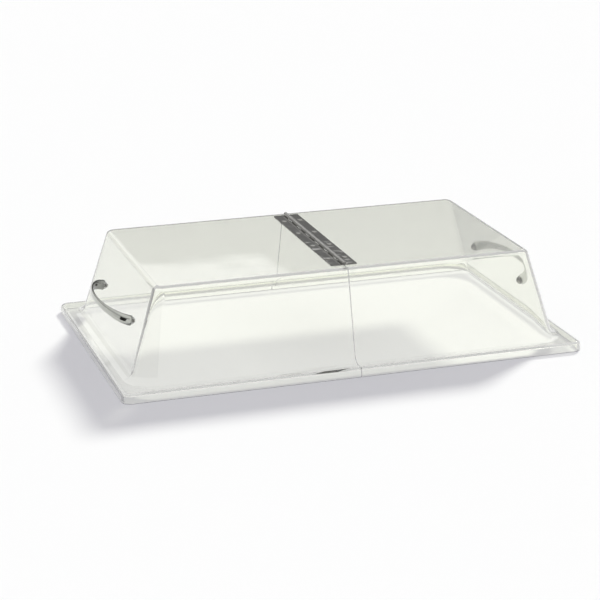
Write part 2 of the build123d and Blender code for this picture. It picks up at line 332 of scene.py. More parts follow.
def sheet_skin(inset):
    """The rings of the skin that lies inset under the sheet's outer side, from the lip to the seam on top."""
    angle, corner_side, on_seam = half_ring()
    across, along = np.cos(angle), np.abs(np.sin(angle))
    from_inside = WALL - inset
    end_shrink = inset * (1 / cos(END_DRAFT) - tan(END_DRAFT))
    side_shrink = inset * (1 / cos(SIDE_DRAFT) - tan(SIDE_DRAFT))
    flange_z, top_z = LIP_HEIGHT - inset, HEIGHT - inset
    lip_bend, foot_bend, top_bend = LIP_BEND + from_inside, FOOT_BEND + inset, TOP_BEND + from_inside
    lip_radius, foot_radius, top_radius = (r + from_inside for r in (LIP_CORNER, FOOT_CORNER, TOP_CORNER))
    foot_half = np.array([HALF_LENGTH - FLANGE_WIDTH - end_shrink, HALF_DEPTH - FLANGE_WIDTH - side_shrink])
    top_half = foot_half - (END_INSET, SIDE_INSET)
    lip_centre = np.array([HALF_LENGTH, HALF_DEPTH]) - inset - lip_radius
    foot_centre, top_centre = foot_half - foot_radius, top_half - top_radius
    drawn_in = foot_centre - top_centre
    inwards = drawn_in[0] * across + drawn_in[1] * along + foot_radius - top_radius
    slope = np.arctan2(inwards, top_z - flange_z)
    run_out = (1 - np.sin(slope)) / np.cos(slope)

    def ring(centre, radius, level):
        x = np.where(on_seam, SEAM_EDGE, centre[0] + radius * across)
        y = corner_side * centre[1] + radius * np.sin(angle)
        return np.stack([x, y, np.broadcast_to(level, x.shape)], axis=1)

    rings = [ring(lip_centre, lip_radius, 0.0)]
    for step in np.linspace(0, 1, BEND_STEPS + 1):
        turn = step * pi / 2
        radius = lip_radius - lip_bend * (1 - cos(turn))
        rings.append(ring(lip_centre, radius, flange_z - lip_bend * (1 - sin(turn))))
    for step in np.linspace(1, 0, BEND_STEPS + 1):
        turn = slope + step * (pi / 2 - slope)
        radius = foot_radius + foot_bend * (run_out - np.cos(turn))
        rings.append(ring(foot_centre, radius, flange_z + foot_bend * (1 - np.sin(turn))))
    for step in np.linspace(0, 1, BEND_STEPS + 1):
        turn = slope + step * (pi / 2 - slope)
        radius = top_radius - top_bend * (run_out - np.cos(turn))
        rings.append(ring(top_centre, radius, top_z - top_bend * (1 - np.sin(turn))))
    seam_line = rings[-1].copy()
    seam_line[:, 0] = SEAM_EDGE
    return np.array(rings + [seam_line])


print("rings in a skin:", len(sheet_skin(0)), "points in a ring:", len(half_ring()[0]))

# %% [markdown]
# ## From rings to a half shell
# The two skins become one mesh: quads between neighbouring rings, a strip along the lip's lower edge, and
# strips down the cut edge at the seam. The left half is the same mesh mirrored, with its faces turned back
# so that they still point outwards.

# %% Join the skins
MERGE_GAP = 0.001 * MM


def plain_object(name, mesh):
    """Puts a mesh in the scene as an object at the origin."""
    piece = bpy.data.objects.new(name, mesh)
    scene.collection.objects.link(piece)
    return piece


def mesh_from(name, points, faces):
    """A mesh from points and faces, with doubled points merged and empty faces taken out."""
    mesh = bpy.data.meshes.new(name)
    shape = bmesh.new()
    corners = [shape.verts.new(point) for point in points]
    for face in faces:
        shape.faces.new([corners[index] for index in face])
    bmesh.ops.remove_doubles(shape, verts=shape.verts, dist=MERGE_GAP)
    bmesh.ops.dissolve_degenerate(shape, edges=shape.edges, dist=MERGE_GAP)
    bmesh.ops.recalc_face_normals(shape, faces=shape.faces)
    shape.to_mesh(mesh)
    shape.free()
    return mesh


def formed_sheet(side):
    """One half shell before its holes are drilled."""
    outer, inner = sheet_skin(0), sheet_skin(WALL)
    levels, width = outer.shape[:2]
    points = np.concatenate([outer, inner]).reshape(-1, 3) * (side, 1, 1)
    number = np.arange(2 * levels * width).reshape(2, levels, width)
    walls = [(skin[:-1, :-1], skin[:-1, 1:], skin[1:, 1:], skin[1:, :-1]) for skin in number]
    for edge in (number[:, 0], number[:, -1], number[:, :, 0], number[:, :, -1]):
        walls.append((edge[0, :-1], edge[0, 1:], edge[1, 1:], edge[1, :-1]))
    faces = np.concatenate([np.stack(wall, axis=-1).reshape(-1, 4) for wall in walls])
    return mesh_from("sheet", points, faces.tolist())


print("a half shell has", len(formed_sheet(RIGHT).polygons), "faces before its holes are drilled")

# %% [markdown]
# ## Trees with real sizes as inputs
# What repeats or follows a path is made by Geometry Nodes. Each tree gets named inputs for its sizes and
# ends by making its copies real and giving them their material. A helper runs a tree on a piece once and
# keeps the result as a plain mesh, so no modifier stays behind.

# %% Run a tree
NUMBER, WHOLE, POINT = "NodeSocketFloat", "NodeSocketInt", "NodeSocketVector"
SHAPE, FINISH = "NodeSocketGeometry", "NodeSocketMaterial"


def start_tree(name, inputs):
    """A geometry tree with named inputs. Returns it with the sockets of its inputs."""
    tree = bpy.data.node_groups.new(name, "GeometryNodeTree")
    for label, kind in inputs.items():
        tree.interface.new_socket(label, in_out="INPUT", socket_type=kind)
    tree.interface.new_socket("Geometry", in_out="OUTPUT", socket_type=SHAPE)
    return tree, add(tree, "NodeGroupInput").outputs


def end_tree(tree, shape, finish):
    """Makes what a tree made real, gives it its material and sends it out."""
    real = add(tree, "GeometryNodeRealizeInstances", None, {"Geometry": shape})
    painted = add(tree, "GeometryNodeSetMaterial", None, {"Geometry": real.outputs[0], "Material": finish})
    add(tree, "NodeGroupOutput", None, {"Geometry": painted.outputs[0]})
    print("made the tree", tree.name, "with", len(tree.nodes), "nodes")
    return tree


def keep_result(piece, modifier):
    """Keeps what a modifier makes of a piece as the piece's plain mesh."""
    bpy.context.view_layer.update()
    made = bpy.data.meshes.new_from_object(piece.evaluated_get(bpy.context.evaluated_depsgraph_get()))
    piece.modifiers.remove(modifier)
    spent, piece.data = piece.data, made
    bpy.data.meshes.remove(spent)
    made.name = piece.name
    return piece


def run_tree(piece, tree, values):
    """Runs a tree on a piece, with values for its named inputs."""
    modifier = piece.modifiers.new(tree.name, "NODES")
    modifier.node_group = tree
    for item in tree.interface.items_tree:
        if item.in_out == "INPUT" and item.name in values:
            modifier[item.identifier] = values[item.name]
    keep_result(piece, modifier)
    piece.data.materials.clear()
    piece.data.materials.append(values["Material"])
    piece.data.polygons.foreach_set("material_index", np.zeros(len(piece.data.polygons), np.int32))
    return piece


# %% [markdown]
# ## A tree that drills a row of holes
# The same holes come back along the hinge and under the handles, so drilling is a tree: a line of points,
# a cutter on each, and a boolean that takes the cutters out of what comes in. One tree serves the shells,
# the hinge leaves and the handles. A cutter with four sides, laid down, also cuts a groove.


# %% Drill
def drill_tree():
    """A row of straight holes taken out of a shape."""
    row_sizes = {"First": POINT, "Step": POINT, "Count": WHOLE, "Turn": POINT}
    hole_sizes = {"Sides": WHOLE, "Radius": NUMBER, "Length": NUMBER}
    tree, given = start_tree("drill_row", {"Geometry": SHAPE, **row_sizes, **hole_sizes, "Material": FINISH})
    row = {"Count": given["Count"], "Start Location": given["First"], "Offset": given["Step"]}
    spots = add(tree, "GeometryNodeMeshLine", None, row)
    drill = {"Vertices": given["Sides"], "Radius": given["Radius"], "Depth": given["Length"]}
    cutter = add(tree, "GeometryNodeMeshCylinder", None, drill)
    placed = {"Points": spots.outputs[0], "Instance": cutter.outputs[0], "Rotation": given["Turn"]}
    cutters = add(tree, "GeometryNodeInstanceOnPoints", None, placed)
    solid = add(tree, "GeometryNodeRealizeInstances", None, {"Geometry": cutters.outputs[0]})
    drilled = add(
        tree,
        "GeometryNodeMeshBoolean",
        {"operation": "DIFFERENCE", "solver": "EXACT"},
        {"Mesh 1": given["Geometry"], "Mesh 2": solid.outputs[0]},
    )
    return end_tree(tree, drilled.outputs[0], given["Material"])


DRILL = drill_tree()
HOLE_SIDES = 40
CUTTER_WALLS = 4

# %% [markdown]
# ## The two half shells
# The sheet gets its rivet holes on top, beside the hinge, and its two screw holes in the end wall. Under
# the hinge barrel the cut edge is relieved by a small groove. Clear plastic shows each error in shading,
# so the flats are weighted by face area: a flat stays flat right up to its bend, and cut edges stay crisp.

# %% Fastener places
rivet_low, rivet_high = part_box("right_hinge_rivets")
RIVETS_PER_LEAF = 4
RIVET_HEAD_RADIUS = 3.2 * MM
RIVET_X = (rivet_low.x + rivet_high.x) / 2
RIVET_FIRST_Y = rivet_low.y + RIVET_HEAD_RADIUS
RIVET_PITCH = -2 * RIVET_FIRST_Y / (RIVETS_PER_LEAF - 1)
RIVET_HOLE_RADIUS = 1.7 * MM

SCREW_SPAN = 131 * MM
SCREW_Z = 58.8 * MM
SEAT_X = HALF_LENGTH - FLANGE_WIDTH - (SCREW_Z - LIP_HEIGHT) * tan(END_DRAFT)
SCREW_HOLE_RADIUS = 2.25 * MM

UPRIGHT, LAID_ALONG_Y = (0, 0, 0), (pi / 2, 0, 0)


def single(place, turn):
    """One place by itself, as inputs of a tree."""
    return {"First": place, "Step": (0, 0, 0), "Count": 1, "Turn": turn}


def rivet_row(side, z):
    """The row of one leaf's rivets at a height, as inputs of a tree."""
    first = (side * RIVET_X, RIVET_FIRST_Y, z)
    return {"First": first, "Step": (0, RIVET_PITCH, 0), "Count": RIVETS_PER_LEAF, "Turn": UPRIGHT}


def screw_row(side):
    """The two screw places of one handle on its end wall, with Z turned out of the wall."""
    outward = (0, side * (pi / 2 - END_DRAFT), 0)
    first = (side * SEAT_X, -SCREW_SPAN / 2, SCREW_Z)
    return {"First": first, "Step": (0, SCREW_SPAN, 0), "Count": 2, "Turn": outward}


print("rivets at x", round(RIVET_X, 4), "pitch", round(RIVET_PITCH, 4), "screws at x", round(SEAT_X, 4))

# %% Half shells
SHARP_EDGE = radians(32)
SHEET_HOLE = {"Sides": HOLE_SIDES, "Length": CUTTER_WALLS * WALL, "Material": POLYCARBONATE}
SEAM_GROOVE = {"Sides": 4, "Radius": 1.3 * MM, "Length": 210 * MM, "Material": POLYCARBONATE}


def shade(piece):
    """Smooth shading that keeps cut edges crisp and flats flat."""
    piece.data.shade_smooth()
    piece.data.set_sharp_from_angle(angle=SHARP_EDGE)
    weighted = piece.modifiers.new("flats", "WEIGHTED_NORMAL")
    weighted.keep_sharp = True
    return keep_result(piece, weighted)


def settle(piece, hand, slot, *nodes):
    """Lets a piece ride on its half of the cover and stand for its CAD nodes."""
    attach(piece, f"{hand}_half")
    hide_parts(*nodes)
    low, high = (Vector(corner) / MM for corner in (piece.bound_box[0], piece.bound_box[6]))
    size = [round(c, 1) for c in high - low]
    print(piece.name, "has", len(piece.data.polygons), "faces and measures", size, "mm")


for hand, side in HANDS.items():
    shell = plain_object(f"{hand}_half_shell", formed_sheet(side))
    run_tree(shell, DRILL, {**rivet_row(side, HEIGHT), **SHEET_HOLE, "Radius": RIVET_HOLE_RADIUS})
    run_tree(shell, DRILL, {**screw_row(side), **SHEET_HOLE, "Radius": SCREW_HOLE_RADIUS})
    run_tree(shell, DRILL, {**single((0, 0, HEIGHT), LAID_ALONG_Y), **SEAM_GROOVE})
    settle(shade(shell), hand, "clear_shell", f"{hand}_shell")

# %% [markdown]
# ## The strip hinge
# Each leaf starts as a strip of sheet. Tabs are cut along one edge and rolled round the pin, and the tabs
# of the two leaves take turns. The tree makes it the same way: a plate with rounded outer corners, and one
# tab, a flat bar whose end is turned round the pin, further the further out a point lies. The tab is copied
# along the edge and joined to the plate. The drill tree then punches the rivet holes.

# %% Leaf sizes
leaf_low, leaf_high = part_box("right_hinge_leaf")
pin_low, pin_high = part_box("hinge_pin")
LEAF_LENGTH = leaf_high.y - leaf_low.y
LEAF_WIDTH = leaf_high.x
LEAF_THICKNESS = 1 * MM
LEAF_CORNER, LEAF_CORNER_STEPS = 1.5 * MM, 8
TAB_PITCH = 16 * MM
TAB_LENGTH = 15.7 * MM
TAB_ROOT = 2.7 * MM
TAB_OVERLAP = 1.5 * MM
TAB_STEPS = 72
PIN_Z = (pin_low.z + pin_high.z) / 2
CURL_RADIUS, CURL_ANGLE = 1.8 * MM, radians(292)
CURL_LENGTH = CURL_ANGLE * CURL_RADIUS
print("leaf", round(LEAF_LENGTH, 4), "by", round(LEAF_WIDTH, 4), "pin at z", round(PIN_Z, 4))


# %% Plate of a leaf
def plate(tree, given):
    """A flat plate with its two outer corners rounded."""
    size = {"Width": given["Plate Width"], "Height": given["Plate Length"]}
    outline = add(tree, "GeometryNodeCurvePrimitiveQuadrilateral", None, size)
    place = add(tree, "ShaderNodeSeparateXYZ", None, {0: add(tree, "GeometryNodeInputPosition").outputs[0]})
    outer = add(tree, "ShaderNodeMath", {"operation": "GREATER_THAN"}, {0: place.outputs["X"], 1: 0.0})
    radius = add(
        tree, "ShaderNodeMath", {"operation": "MULTIPLY"}, {0: outer.outputs[0], 1: given["Corner Radius"]}
    )
    rounded = add(
        tree,
        "GeometryNodeFilletCurve",
        {"mode": "POLY"},
        {"Curve": outline.outputs[0], "Radius": radius.outputs[0], "Count": LEAF_CORNER_STEPS},
    )
    face = add(tree, "GeometryNodeFillCurve", {"mode": "NGONS"}, {"Curve": rounded.outputs[0]})
    lift = {"Mesh": face.outputs[0], "Offset Scale": given["Thickness"], "Individual": False}
    raised = add(tree, "GeometryNodeExtrudeMesh", None, lift)
    under = add(tree, "GeometryNodeFlipFaces", None, {"Mesh": face.outputs[0]})
    both = add(tree, "GeometryNodeJoinGeometry", None, {"Geometry": raised.outputs["Mesh"]})
    tree.links.new(under.outputs[0], both.inputs["Geometry"])
    closed = add(
        tree, "GeometryNodeMergeByDistance", None, {"Geometry": both.outputs[0], "Distance": MERGE_GAP}
    )
    return add(
        tree,
        "GeometryNodeTransform",
        None,
        {"Geometry": closed.outputs[0], "Translation": given["Plate Place"]},
    ).outputs[0]


# %% Rolled tab
def rolled_tab(tree, given):
    """A flat bar along X, of which the part below X = 0 is rolled round the pin."""
    flat_bar = {"Size": given["Tab Size"], "Vertices X": TAB_STEPS, "Vertices Y": 2, "Vertices Z": 2}
    bar = add(tree, "GeometryNodeMeshCube", None, flat_bar)
    in_place = {"Geometry": bar.outputs["Mesh"], "Translation": given["Tab Place"]}
    laid = add(tree, "GeometryNodeTransform", None, in_place)
    place = add(tree, "ShaderNodeSeparateXYZ", None, {0: add(tree, "GeometryNodeInputPosition").outputs[0]})
    flat = add(tree, "ShaderNodeMath", {"operation": "MAXIMUM"}, {0: place.outputs["X"], 1: 0.0})
    beyond = add(tree, "ShaderNodeMath", {"operation": "MINIMUM"}, {0: place.outputs["X"], 1: 0.0})
    turn = add(
        tree, "ShaderNodeMath", {"operation": "DIVIDE"}, {0: beyond.outputs[0], 1: given["Curl Radius"]}
    )
    start = add(
        tree,
        "ShaderNodeCombineXYZ",
        None,
        {"X": flat.outputs[0], "Y": place.outputs["Y"], "Z": place.outputs["Z"]},
    )
    rolled = add(
        tree,
        "ShaderNodeVectorRotate",
        {"rotation_type": "Y_AXIS", "invert": True},
        {"Vector": start.outputs[0], "Center": given["Pin"], "Angle": turn.outputs[0]},
    )
    return add(
        tree, "GeometryNodeSetPosition", None, {"Geometry": laid.outputs[0], "Position": rolled.outputs[0]}
    ).outputs[0]


# %% Leaf tree
def leaf_tree():
    """A hinge leaf: its plate, joined to a row of rolled tabs."""
    plate_sizes = {"Plate Width": NUMBER, "Plate Length": NUMBER, "Plate Place": POINT}
    tab_sizes = {"Tab Size": POINT, "Tab Place": POINT, "First Tab": POINT, "Step": POINT, "Tabs": WHOLE}
    bend_sizes = {"Corner Radius": NUMBER, "Thickness": NUMBER, "Pin": POINT, "Curl Radius": NUMBER}
    sizes = {**plate_sizes, **tab_sizes, **bend_sizes}
    tree, given = start_tree("hinge_leaf", {**sizes, "Turn": POINT, "Material": FINISH})
    row = {"Count": given["Tabs"], "Start Location": given["First Tab"], "Offset": given["Step"]}
    spots = add(tree, "GeometryNodeMeshLine", None, row)
    placed = {"Points": spots.outputs[0], "Instance": rolled_tab(tree, given)}
    copies = add(tree, "GeometryNodeInstanceOnPoints", None, placed)
    tabs = add(tree, "GeometryNodeRealizeInstances", None, {"Geometry": copies.outputs[0]})
    leaf = add(
        tree,
        "GeometryNodeMeshBoolean",
        {"operation": "UNION", "solver": "EXACT"},
        {"Mesh 2": plate(tree, given)},
    )
    tree.links.new(tabs.outputs[0], leaf.inputs["Mesh 2"])
    turned_leaf = add(
        tree, "GeometryNodeTransform", None, {"Geometry": leaf.outputs["Mesh"], "Rotation": given["Turn"]}
    )
    return end_tree(tree, turned_leaf.outputs[0], given["Material"])


LEAF = leaf_tree()

# %% Hinge leaves
LEAF_Z = PIN_Z - CURL_RADIUS - LEAF_THICKNESS / 2
TAB_REACH = TAB_ROOT + TAB_OVERLAP
LEAF_SIZES = {
    "Plate Width": LEAF_WIDTH - TAB_ROOT,
    "Plate Length": LEAF_LENGTH,
    "Plate Place": ((LEAF_WIDTH + TAB_ROOT) / 2, 0, LEAF_Z),
    "Corner Radius": LEAF_CORNER,
    "Tab Size": (TAB_REACH + CURL_LENGTH, TAB_LENGTH, LEAF_THICKNESS),
    "Tab Place": ((TAB_REACH - CURL_LENGTH) / 2, 0, PIN_Z - CURL_RADIUS),
    "Step": (0, 2 * TAB_PITCH, 0),
    "Thickness": LEAF_THICKNESS,
    "Pin": (0, 0, PIN_Z),
    "Curl Radius": CURL_RADIUS,
    "Material": HINGE_STEEL,
}
TABS = {"left": 7, "right": 6}
FACING = {"left": (0, 0, pi), "right": UPRIGHT}
LEAF_HOLE = {"Sides": HOLE_SIDES, "Length": CUTTER_WALLS * LEAF_THICKNESS, "Radius": RIVET_HOLE_RADIUS}


def empty_piece(name):
    """An object with an empty mesh, for a tree to fill."""
    return plain_object(name, bpy.data.meshes.new(name))


for hand, side in HANDS.items():
    leaf = empty_piece(f"{hand}_leaf_with_knuckles")
    first_tab = {"First Tab": (0, (1 - TABS[hand]) * TAB_PITCH, 0), "Tabs": TABS[hand]}
    run_tree(leaf, LEAF, {**LEAF_SIZES, **first_tab, "Turn": FACING[hand]})
    run_tree(leaf, DRILL, {**rivet_row(side, LEAF_Z), **LEAF_HOLE, "Material": HINGE_STEEL})
    settle(shade(leaf), hand, "hinge_steel", f"{hand}_hinge_leaf")

# %% [markdown]
# ## Turned fasteners
# Rivets, screws, washers and the pin are round, so each is one outline turned about its axis. A tree then
# sets copies of it in a row along the hinge, or on a handle's two feet.

# %% Turn an outline
TURN_STEPS = 40
BROKEN_EDGE = 0.12 * MM


def turned(name, outline, ring=False):
    """A mesh of revolution about Z from (radius, height) points. A ring's outline closes on itself."""
    angle = np.linspace(0, 2 * pi, TURN_STEPS, endpoint=False)
    points = [(r * cos(a), r * sin(a), z) for r, z in outline for a in angle]
    number = np.arange(len(points)).reshape(len(outline), TURN_STEPS)
    if ring:
        number = np.concatenate([number, number[:1]])
    ahead = np.roll(number, -1, axis=1)
    faces = np.stack([number[:-1], ahead[:-1], ahead[1:], number[1:]], axis=-1).reshape(-1, 4)
    return mesh_from(name, points, faces.tolist())


def cap(rim_radius, rim_z, crown_z, steps=8):
    """The outline of a ball's cap, from its crown on the axis to its rim."""
    rise = crown_z - rim_z
    ball = (rim_radius ** 2 / rise + rise) / 2
    centre_z = crown_z - ball
    half_angle = np.arcsin(rim_radius / abs(ball))
    return [(abs(ball) * sin(a), centre_z + ball * cos(a)) for a in np.linspace(0, half_angle, steps)]


def washer_section(inner, outer, low, high):
    """A washer's section, with its edges broken."""
    left, right = inner + BROKEN_EDGE, outer - BROKEN_EDGE
    under, over = low + BROKEN_EDGE, high - BROKEN_EDGE
    lower_half = [(inner, under), (left, low), (right, low), (outer, under)]
    return lower_half + [(outer, over), (right, high), (left, high), (inner, over)]


dome = cap(4 * MM, 0, 1 * MM, 4)
print("a dome 1 mm high and 8 mm across:", [(round(r, 5), round(z, 5)) for r, z in dome])


# %% Row tree
def row_tree():
    """Copies of one piece set in a row."""
    sizes = {"First": POINT, "Step": POINT, "Count": WHOLE, "Turn": POINT}
    tree, given = start_tree("fastener_row", {"Geometry": SHAPE, **sizes, "Material": FINISH})
    row = {"Count": given["Count"], "Start Location": given["First"], "Offset": given["Step"]}
    spots = add(tree, "GeometryNodeMeshLine", None, row)
    placed = {"Points": spots.outputs[0], "Instance": given["Geometry"], "Rotation": given["Turn"]}
    copies = add(tree, "GeometryNodeInstanceOnPoints", None, placed)
    return end_tree(tree, copies.outputs[0], given["Material"])


ROW = row_tree()

# %% Rivets, washers and pin
LEAF_TOP = LEAF_Z + LEAF_THICKNESS
TAIL_Z = rivet_low.z
TAIL_SEAT_Z = TAIL_Z + 1.6 * MM
TAIL_RADIUS = 2.6 * MM
HEAD_FLAT, HEAD_STEPS = 2.0 * MM, 7
RIVET_RADIUS = 1.6 * MM
WASHER_THICKNESS = 0.8 * MM
RIVET_WASHER_RADIUS = 4 * MM
PIN_RADIUS = (pin_high.z - pin_low.z) / 2
PIN_HALF = (pin_high.y - pin_low.y) / 2
PIN_DOME = 0.5 * MM

head_round, head_rise = RIVET_HEAD_RADIUS - HEAD_FLAT, rivet_high.z - LEAF_TOP
rivet_head = [(0, rivet_high.z)]
for a in np.linspace(pi / 2, 0, HEAD_STEPS):
    rivet_head.append((HEAD_FLAT + head_round * cos(a), LEAF_TOP + head_rise * sin(a)))
rivet_tail = cap(TAIL_RADIUS, TAIL_SEAT_Z, TAIL_Z)
RIVET = rivet_head + [(RIVET_RADIUS, LEAF_TOP), (RIVET_RADIUS, TAIL_SEAT_Z)] + rivet_tail[::-1]
washer_top = TAIL_SEAT_Z + WASHER_THICKNESS
RIVET_WASHER = washer_section(RIVET_HOLE_RADIUS, RIVET_WASHER_RADIUS, TAIL_SEAT_Z, washer_top)
pin_end = cap(PIN_RADIUS, PIN_HALF - PIN_DOME, PIN_HALF)
PIN = pin_end + [(r, -z) for r, z in pin_end[::-1]]

for hand, side in HANDS.items():
    on_leaf = {**rivet_row(side, 0), "Material": FASTENER_STEEL}
    rivets = plain_object(f"{hand}_rivets", turned("rivet", RIVET))
    settle(shade(run_tree(rivets, ROW, on_leaf)), hand, "rivet_steel", f"{hand}_hinge_rivets")
    washers = plain_object(f"{hand}_washers_under_rivets", turned("washer", RIVET_WASHER, ring=True))
    settle(shade(run_tree(washers, ROW, on_leaf)), hand, "washer_steel", f"{hand}_rivet_washers")

in_hinge = {**single((0, 0, PIN_Z), LAID_ALONG_Y), "Material": FASTENER_STEEL}
pin = plain_object("pin_with_domed_ends", turned("pin", PIN))
settle(shade(run_tree(pin, ROW, in_hinge)), "left", "hinge_steel", "hinge_pin")

# %% [markdown]
# ## Handle screws
# A handle is held by two screws from inside, each with a washer. Their heads show through the clear wall,
# so they get a domed head with a hexagon socket, cut by the drill tree with a six-sided cutter. The shank
# has turned rings in place of a thread, because it sits in the handle's foot.

# %% Screws and washers
SCREW_RADIUS = 2 * MM
SCREW_REACH = 5 * MM
SCREW_HEAD_RADIUS = 4 * MM
SCREW_SEAT = -WALL - WASHER_THICKNESS
SCREW_RIM = SCREW_SEAT - 1.1 * MM
SCREW_CROWN = SCREW_SEAT - 3.1 * MM
SCREW_WASHER_RADIUS = 4.5 * MM
THREAD_START = 0.4 * MM
THREAD_PITCH = 0.7 * MM
THREAD_ROOT = SCREW_RADIUS - 0.3 * MM
TIP_LENGTH = 0.5 * MM
SOCKET = {"Sides": 6, "Radius": 1.45 * MM, "Length": 3.2 * MM, "Material": FASTENER_STEEL}

thread = []
for z in np.arange(THREAD_START, SCREW_REACH - THREAD_PITCH, THREAD_PITCH):
    thread += [(SCREW_RADIUS, z), (THREAD_ROOT, z + THREAD_PITCH / 2)]
screw_head = cap(SCREW_HEAD_RADIUS, SCREW_RIM, SCREW_CROWN, 10)
under_head = [(SCREW_HEAD_RADIUS, SCREW_SEAT), (SCREW_RADIUS, SCREW_SEAT)]
tip = [(SCREW_RADIUS, SCREW_REACH - TIP_LENGTH), (THREAD_ROOT, SCREW_REACH), (0, SCREW_REACH)]
SCREW = screw_head + under_head + thread + tip
SCREW_WASHER = washer_section(SCREW_HOLE_RADIUS, SCREW_WASHER_RADIUS, SCREW_SEAT, -WALL)

for hand, side in HANDS.items():
    on_wall = {**screw_row(side), "Material": FASTENER_STEEL}
    screws = plain_object(f"{hand}_screws", turned("screw", SCREW))
    run_tree(screws, DRILL, {**single((0, 0, SCREW_CROWN), UPRIGHT), **SOCKET})
    settle(shade(run_tree(screws, ROW, on_wall)), hand, "screw_steel", f"{hand}_handle_screws")
    washers = plain_object(f"{hand}_washers_under_screws", turned("washer", SCREW_WASHER, ring=True))
    settle(shade(run_tree(washers, ROW, on_wall)), hand, "washer_steel", f"{hand}_handle_washers")

# %% [markdown]
# ## Bow handles
# A handle is a chromed casting, a bow that is thick and wide at its feet and slim in the middle. It lies
# between two half ellipses, and its width grows with the square of the distance from the middle. A bar is
# swept straight first, with a rounded section, and a formula then lays it on the bow, because a sweep along
# the bow could scale the section but not change its two sides apart. The photograph shows no image of a
# handle in the plastic, so the handles are left out of what other pieces mirror.

# %% Straight bar
BOW_STEPS, SECTION_STEPS = 96, 10


def straight_bar(tree, given):
    """A bar from 0 to pi along X. Its section is a square from -1 to 1 with rounded corners."""
    line = add(tree, "GeometryNodeCurvePrimitiveLine", None, {"End": (pi, 0, 0)})
    stations = add(tree, "GeometryNodeResampleCurve", None, {"Curve": line.outputs[0], "Count": BOW_STEPS})
    square = add(tree, "GeometryNodeCurvePrimitiveQuadrilateral", None, {"Width": 2.0, "Height": 2.0})
    section = add(
        tree,
        "GeometryNodeFilletCurve",
        {"mode": "POLY"},
        {"Curve": square.outputs[0], "Radius": given["Rounding"], "Count": SECTION_STEPS},
    )
    return add(
        tree,
        "GeometryNodeCurveToMesh",
        None,
        {"Curve": stations.outputs[0], "Profile Curve": section.outputs[0], "Fill Caps": True},
    ).outputs[0]


# %% Bow tree
def bow_tree():
    """A bar laid on a bow between two half ellipses, and set on an end wall."""
    sizes = {"Middle Axes": POINT, "Half Thickness": POINT, "Middle Half Width": NUMBER, "Flare": NUMBER}
    seat = {"Rounding": NUMBER, "Seat": POINT, "Turn": POINT, "Material": FINISH}
    tree, given = start_tree("bow_handle", {**sizes, **seat})
    bar = straight_bar(tree, given)
    place = add(tree, "ShaderNodeSeparateXYZ", None, {0: add(tree, "GeometryNodeInputPosition").outputs[0]})
    across = add(tree, "ShaderNodeMath", {"operation": "COSINE"}, {0: place.outputs["X"]})
    out = add(tree, "ShaderNodeMath", {"operation": "SINE"}, {0: place.outputs["X"]})
    swing = add(tree, "ShaderNodeCombineXYZ", None, {"Y": across.outputs[0], "Z": out.outputs[0]})
    axes = add(
        tree,
        "ShaderNodeVectorMath",
        {"operation": "MULTIPLY_ADD"},
        {0: place.outputs["Y"], 1: given["Half Thickness"], 2: given["Middle Axes"]},
    )
    bow = add(
        tree, "ShaderNodeVectorMath", {"operation": "MULTIPLY"}, {0: axes.outputs[0], 1: swing.outputs[0]}
    )
    on_bow = add(tree, "ShaderNodeSeparateXYZ", None, {0: bow.outputs[0]})
    squared = add(
        tree, "ShaderNodeMath", {"operation": "MULTIPLY"}, {0: on_bow.outputs["Y"], 1: on_bow.outputs["Y"]}
    )
    half_width = add(
        tree,
        "ShaderNodeMath",
        {"operation": "MULTIPLY_ADD"},
        {0: squared.outputs[0], 1: given["Flare"], 2: given["Middle Half Width"]},
    )
    width = add(
        tree, "ShaderNodeMath", {"operation": "MULTIPLY"}, {0: place.outputs["Z"], 1: half_width.outputs[0]}
    )
    laid = add(
        tree,
        "ShaderNodeCombineXYZ",
        None,
        {"X": width.outputs[0], "Y": on_bow.outputs["Y"], "Z": on_bow.outputs["Z"]},
    )
    bent = add(tree, "GeometryNodeSetPosition", None, {"Geometry": bar, "Position": laid.outputs[0]})
    in_place = {"Geometry": bent.outputs[0], "Translation": given["Seat"], "Rotation": given["Turn"]}
    seated = add(tree, "GeometryNodeTransform", None, in_place)
    return end_tree(tree, seated.outputs[0], given["Material"])


BOW = bow_tree()

# %% Handles
BOW_OUTER = np.array([0, 70.5 * MM, 26.5 * MM])
BOW_INNER = np.array([0, 60.5 * MM, 23.9 * MM])
FOOT_HALF_WIDTH, MIDDLE_HALF_WIDTH = 5.75 * MM, 3 * MM
# A rounding of 1 would make the section round.
SECTION_ROUNDING = 0.7
BOW_SIZES = {
    "Middle Axes": tuple((BOW_OUTER + BOW_INNER) / 2),
    "Half Thickness": tuple((BOW_OUTER - BOW_INNER) / 2),
    "Middle Half Width": MIDDLE_HALF_WIDTH,
    "Flare": (FOOT_HALF_WIDTH - MIDDLE_HALF_WIDTH) / BOW_OUTER[1] ** 2,
    "Rounding": SECTION_ROUNDING,
    "Material": CHROME,
}
TAPPED_HOLE = {"Sides": HOLE_SIDES, "Radius": 2.05 * MM, "Length": 11.6 * MM, "Material": CHROME}

for hand, side in HANDS.items():
    on_wall = screw_row(side)
    handle = empty_piece(f"{hand}_bow_handle")
    run_tree(handle, BOW, {**BOW_SIZES, "Seat": (side * SEAT_X, 0, SCREW_Z), "Turn": on_wall["Turn"]})
    run_tree(handle, DRILL, {**on_wall, **TAPPED_HOLE})
    handle.visible_glossy = False
    settle(shade(handle), hand, "handle_chrome", f"{hand}_handle")

# %% [markdown]
# ## Floor, screen and card
# The photograph is a cut-out look on white, so a wide matt white floor is enough of a room. Clear plastic
# and bright metal only show what stands round them, so a grey screen stands round the object, and a dark
# card beside it. The camera doesn't see them directly, and they don't shade the floor. They are what the
# edges and the metal mirror, as in a photographer's studio.


